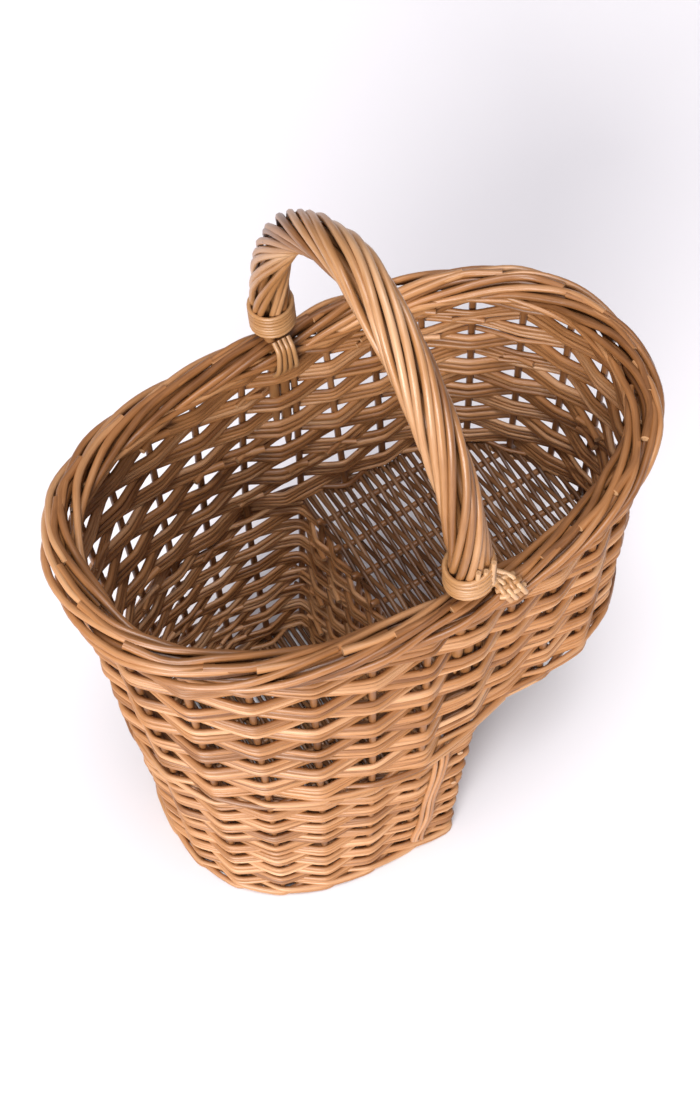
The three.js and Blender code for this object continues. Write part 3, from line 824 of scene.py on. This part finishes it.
def arch_point(share):
    """The handle's centre line: a short straight leg, the arch, and the other leg."""
    rise = arch_top - arch_base - LEG
    leg_share = LEG / (2 * LEG + ARCH_STRETCH * (rise + LEG))
    if share < leg_share or share > 1 - leg_share:
        side = -1 if share < leg_share else 1
        height = LEG * min(share, 1 - share) / leg_share
        return np.array([handle_x, side * leg_y, arch_base + height])
    angle = math.pi * (share - leg_share) / (1 - 2 * leg_share)
    power = 2 / ARCH_ROUNDNESS
    y = -leg_y * math.copysign(abs(math.cos(angle)) ** power, math.cos(angle))
    z = arch_base + LEG + rise * math.sin(angle) ** power
    return np.array([handle_x, y, z])


def even_arch(steps):
    """Points of the arch at even distances, with the direction at each."""
    fine = np.array([arch_point(i / FINE_STEPS) for i in range(FINE_STEPS + 1)])
    walked = np.concatenate([[0], np.cumsum(np.linalg.norm(np.diff(fine, axis=0), axis=1))])
    targets = np.linspace(0, walked[-1], steps + 1)
    points = np.stack([np.interp(targets, walked, fine[:, k]) for k in range(3)], axis=1)
    directions = np.gradient(points, axis=0)
    return points, directions / np.linalg.norm(directions, axis=1)[:, None]


arch = even_arch(ARCH_STEPS)[0]
bow_rods = []
for offset, low in zip(BOW_OFFSETS, (bow_low, other_low)):
    tips = []
    for side in ("near", "far"):
        wall = post_lines[side][1:] + np.array([offset, 0.0, 0.0])
        tips.append([at_height(wall, z) for z in (low[2], low[2] + POINT_LENGTH, wall[1][2])])
    middle = arch.copy()
    middle[:, 0] = tips[0][2][0]
    line = np.vstack([tips[0], middle, tips[1][::-1]])
    radii = np.full(len(line), BOW_RADIUS)
    radii[[0, -1]] = POINT_RADIUS
    bow_rods.append((line, radii, chance.uniform(0.3, 0.6)))
piece = make_rods("handle_bows", bow_rods, bow_willow, 11, sides=12, wander=0.4 * MM)
fit(piece, "handle_bows", "handle_bow_1", "handle_bow_2")


# ---------------------------------------------------------------------------------------
# Roping: long rods wound side by side round the bows from one foot to the other, in
# slow right-handed turns.
# ---------------------------------------------------------------------------------------
ROPING_RODS = 12
ROPING_TURNS = 1.75
ROPING_RADIUS = 2.65 * MM
ROPING_REACH = 11.2 * MM
ROPING_STEPS = 110

roping_willow = willow(
    "roping_willow",
    opaque(0.148, 0.0532, 0.0128),
    opaque(0.333, 0.153, 0.0547),
    opaque(0.502, 0.297, 0.16),
    roughness=0.36,
)


def roping():
    """Each rod keeps its place in the rope, but sinks, lifts and crowds a little."""
    points, directions = even_arch(ROPING_STEPS)
    share = np.linspace(0, 1, len(points))
    across = np.tile(np.array([1.0, 0.0, 0.0]), (len(points), 1))
    third = np.cross(directions, across)
    rods = []
    for rod in range(ROPING_RODS):
        waves = chance.uniform(0, 2 * math.pi, 4)
        crowd = 0.10 * np.sin(7 * share + waves[0]) + 0.06 * np.sin(17 * share + waves[1])
        sink = 0.6 * np.sin(9 * share + waves[2]) + 0.4 * np.sin(23 * share + waves[3])
        turn = 2 * math.pi * (rod / ROPING_RODS + ROPING_TURNS * share) + crowd
        reach = (ROPING_REACH + sink * MM)[:, None]
        out = across * np.cos(turn)[:, None] + third * np.sin(turn)[:, None]
        thickness = ROPING_RADIUS * chance.uniform(0.92, 1.08)
        radii = np.interp(share, [0, 0.5, 1], [1.05, 1.0, 0.9]) * thickness
        rods.append((points + out * reach, radii, chance.beta(2, 2)))
    return rods


piece = make_rods("handle_roping", roping(), roping_willow, 12, wander=0.5 * MM)
fit(piece, "roping_rods", *[f"handle_roping_{i + 1}" for i in range(6)])


# ---------------------------------------------------------------------------------------
# Collars: thin willow lapped tightly round each foot of the handle. Three short cut ends
# stand up out of the near one.
# ---------------------------------------------------------------------------------------
COLLARS = {"near": (6, 1.8 * MM, 2.6 * MM), "far": (7, 1.55 * MM, 0.5 * MM)}
COLLAR_REACH = 13.2 * MM
COLLAR_SPREAD = 4 * MM
LAP_STEPS = 24
STUB_HEIGHTS = (10.2 * MM, 7.2 * MM, 12.0 * MM)
STUB_RADIUS = 1.7 * MM
STUB_PITCH = 5.5
STUB_OUT = 13.6 * MM
STUB_SUNK = 12 * MM
STUB_LEAN = 0.6 * MM
UP = np.array([0.0, 0.0, 1.0])

binding_willow = willow(
    "binding_willow",
    opaque(0.195, 0.0747, 0.0179),
    opaque(0.361, 0.176, 0.0648),
    opaque(0.506, 0.304, 0.159),
    roughness=0.4,
)


def lapping(side):
    """One rod wound round and round, its laps a little uneven and tilted."""
    laps, radius, slack = COLLARS[side]
    low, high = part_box(f"collar_{side}")
    centre = (low + high) / 2
    steps = laps * LAP_STEPS
    points = []
    for step in range(steps + 1):
        turn = step / LAP_STEPS
        angle = 2 * math.pi * turn
        rise = radius + (high[2] - low[2] + COLLAR_SPREAD - 2 * radius) * turn / laps
        tilt = slack * math.cos(angle + 0.5 * math.sin(1.3 * turn))
        reach = COLLAR_REACH + radius + 0.1 * slack * math.sin(3.1 * turn + angle)
        height = low[2] - centre[2] + rise + tilt
        spot = [math.cos(angle) * reach, math.sin(angle) * reach, height]
        points.append(np.array(centre) + np.array(spot))
    return np.array(points), radius, 0.6


for side in COLLARS:
    wound = [lapping(side)]
    if side == "near":
        for stub, height in enumerate(STUB_HEIGHTS):
            x = handle_x + (stub * STUB_PITCH - 3) * MM
            foot = np.array([x, -leg_y - STUB_OUT, collar_high[2]])
            lean = np.array([STUB_LEAN, 0.0, 0.0])
            stub_line = np.array([foot - UP * STUB_SUNK, foot, foot + UP * height + lean])
            wound.append((stub_line, STUB_RADIUS, 0.8))
    piece = make_rods(f"collar_{side}_laps", wound, binding_willow, 13, wander=0.4 * MM)
    fit(piece, "binding_willow", f"collar_{side}")


# ---------------------------------------------------------------------------------------
# Lashings: the binding's ends. At the near foot they are plaited into a small crossed
# patch over the border; at the far foot four strands run over the border to the inside.
# ---------------------------------------------------------------------------------------
LASH_RADIUS = 1.9 * MM
PATCH_STRANDS = 4
PATCH_CROSSINGS = 3
PATCH_PITCH = 4.4
PATCH_SLANT = 1.4
PATCH_START = 2.0
PATCH_LIFTS = (0.5, 1.7)
PATCH_SINK = -0.6
PATCH_PLACE = 0.36
STAKE_SPACING = 39.0
SHOULDER_SIZE = (15.2, 11.2)
SHOULDER_CENTRE = (1.0, -8.0)
SHOULDER_TOP = 88.0
DEGREES_PER_MM = 4.6
FAR_STRANDS = 4
FAR_PITCH = 3.6 * MM
FAR_FAN = 1.2 * MM


def patch_point(across, down, lift):
    """A point of the patch: across runs along the rim, down goes over its shoulder, and
    lift stands off it, all in millimetres."""
    angle = math.radians(SHOULDER_TOP - down * DEGREES_PER_MM)
    out = (SHOULDER_CENTRE[0] + (SHOULDER_SIZE[0] + lift) * math.cos(angle)) * MM
    below = (SHOULDER_CENTRE[1] + (SHOULDER_SIZE[1] + lift) * math.sin(angle)) * MM
    share = PATCH_PLACE + across / STAKE_SPACING
    return ring_point(border_ring, share, lambda x: rim_height(x) + below, out)


def near_patch():
    """Strands from the collar over the border's shoulder, with others woven across."""
    rods = []
    for strand in range(PATCH_STRANDS):
        across = strand * PATCH_PITCH
        points = [patch_point(across * 0.5 - 9.0, -9.0, 2.5 + strand)]
        for cross in range(PATCH_CROSSINGS):
            lift = PATCH_LIFTS[(strand + cross) % 2]
            down = PATCH_START + cross * PATCH_PITCH
            points.append(patch_point(across + cross * PATCH_SLANT, down, lift))
        points.append(patch_point(across + 6.4, 17.5, PATCH_SINK))
        rods.append((smooth_line(points, 5), LASH_RADIUS, chance.uniform(0.5, 0.95)))
    for cross in range(PATCH_CROSSINGS):
        down = PATCH_START + cross * PATCH_PITCH
        slant = cross * PATCH_SLANT
        points = [patch_point(-3.8 + slant, down - 0.4, PATCH_SINK)]
        for strand in range(PATCH_STRANDS):
            lift = PATCH_LIFTS[(strand + cross + 1) % 2]
            points.append(patch_point(strand * PATCH_PITCH + slant, down, lift))
        points.append(patch_point(PATCH_STRANDS * PATCH_PITCH + slant, down, PATCH_SINK))
        rods.append((smooth_line(points, 5), LASH_RADIUS, chance.uniform(0.5, 0.95)))
    return rods


def far_strands():
    """Strands from under the far collar, over the rim and down its inner face."""
    rods = []
    rim = rim_height(handle_x)
    for strand in range(FAR_STRANDS):
        place = strand - (FAR_STRANDS - 1) / 2
        x = handle_x + place * FAR_PITCH
        fan = place * FAR_FAN
        points = [
            np.array([x, leg_y - 9 * MM, rim + 7 * MM]),
            np.array([x, leg_y - 14.5 * MM, rim + 1.5 * MM]),
            np.array([x + fan * 0.4, leg_y - 15.5 * MM, rim - 8 * MM]),
            np.array([x + fan, leg_y - 14.0 * MM, rim - 20 * MM]),
            np.array([x + fan * 1.5, leg_y - 9.0 * MM, rim - 28 * MM]),
        ]
        rods.append((smooth_line(points, 5), LASH_RADIUS, chance.uniform(0.3, 0.8)))
    return rods


for side, strands in (("near", near_patch()), ("far", far_strands())):
    piece = make_rods(f"lash_{side}_strands", strands, binding_willow, 14, wander=0.3 * MM)
    fit(piece, "binding_willow", f"lash_{side}")


# ---------------------------------------------------------------------------------------
# Studio: a plain pale floor, a low soft light from the front left, a soft one from above,
# and the camera, which looks down over the deep end.
# ---------------------------------------------------------------------------------------
FLOOR_SIZE = 30.0
CAMERA_AZIMUTH = math.radians(-26.41)
CAMERA_ELEVATION = math.radians(58.14)
CAMERA_ROLL = -0.099
CAMERA_DISTANCE = 1.578
CAMERA_TARGET = np.array([0.0628, 0.1529, 0.0])
CAMERA_LENS = 59.0
SENSOR_WIDTH = 36.0
FLOOR_COLOUR = opaque(0.74, 0.72, 0.745)
AMBIENT_COLOUR = opaque(0.96, 0.94, 1.0)
AMBIENT_STRENGTH = 0.28

floor_mesh = bpy.data.meshes.new("floor")
half_floor = FLOOR_SIZE / 2
square = ((-1, -1), (1, -1), (1, 1), (-1, 1))
floor_corners = [(x * half_floor, y * half_floor, 0) for x, y in square]
floor_mesh.from_pydata(floor_corners, [], [(0, 1, 2, 3)])
floor = bpy.data.objects.new("floor", floor_mesh)
bpy.context.scene.collection.objects.link(floor)
floor_paint = bpy.data.materials.new("floor_paint")
floor_paint.use_nodes = True
shader = floor_paint.node_tree.nodes["Principled BSDF"]
shader.inputs["Base Color"].default_value = FLOOR_COLOUR
shader.inputs["Roughness"].default_value = 0.9
shader.inputs["Specular IOR Level"].default_value = 0.1
floor_mesh.materials.append(floor_paint)

world = bpy.data.worlds.new("studio")
world.use_nodes = True
background = world.node_tree.nodes["Background"]
background.inputs["Color"].default_value = AMBIENT_COLOUR
background.inputs["Strength"].default_value = AMBIENT_STRENGTH
bpy.context.scene.world = world
bpy.context.scene.view_settings.view_transform = "Standard"


def sun(name, place, strength, angle, colour):
    """A soft distant light that shines from place towards the basket."""
    light = bpy.data.lights.new(name, "SUN")
    light.energy = strength
    light.angle = math.radians(angle)
    light.color = colour
    holder = bpy.data.objects.new(name, light)
    holder.rotation_euler = Vector(place).to_track_quat("Z", "Y").to_euler()
    bpy.context.scene.collection.objects.link(holder)


sun("key", (-0.70, -0.66, 0.36), 4.9, 34, (1.0, 0.985, 0.965))
sun("top", (-0.06, -0.14, 1.0), 2.3, 26, (0.99, 0.98, 1.0))

back = np.array([
    math.sin(CAMERA_AZIMUTH) * math.cos(CAMERA_ELEVATION),
    -math.cos(CAMERA_AZIMUTH) * math.cos(CAMERA_ELEVATION),
    math.sin(CAMERA_ELEVATION),
])
right = np.cross(UP, back)
right /= np.linalg.norm(right)
upward = np.cross(back, right)
rolled_right = math.cos(CAMERA_ROLL) * right + math.sin(CAMERA_ROLL) * upward
rolled_up = -math.sin(CAMERA_ROLL) * right + math.cos(CAMERA_ROLL) * upward
camera_data = bpy.data.cameras.new("camera")
camera_data.lens = CAMERA_LENS
camera_data.sensor_width = SENSOR_WIDTH
camera = bpy.data.objects.new("camera", camera_data)
turn = Matrix((rolled_right, rolled_up, back)).transposed()
place = CAMERA_TARGET + back * CAMERA_DISTANCE
camera.matrix_world = Matrix.Translation(Vector(place)) @ turn.to_4x4()
bpy.context.scene.collection.objects.link(camera)
bpy.context.scene.camera = camera
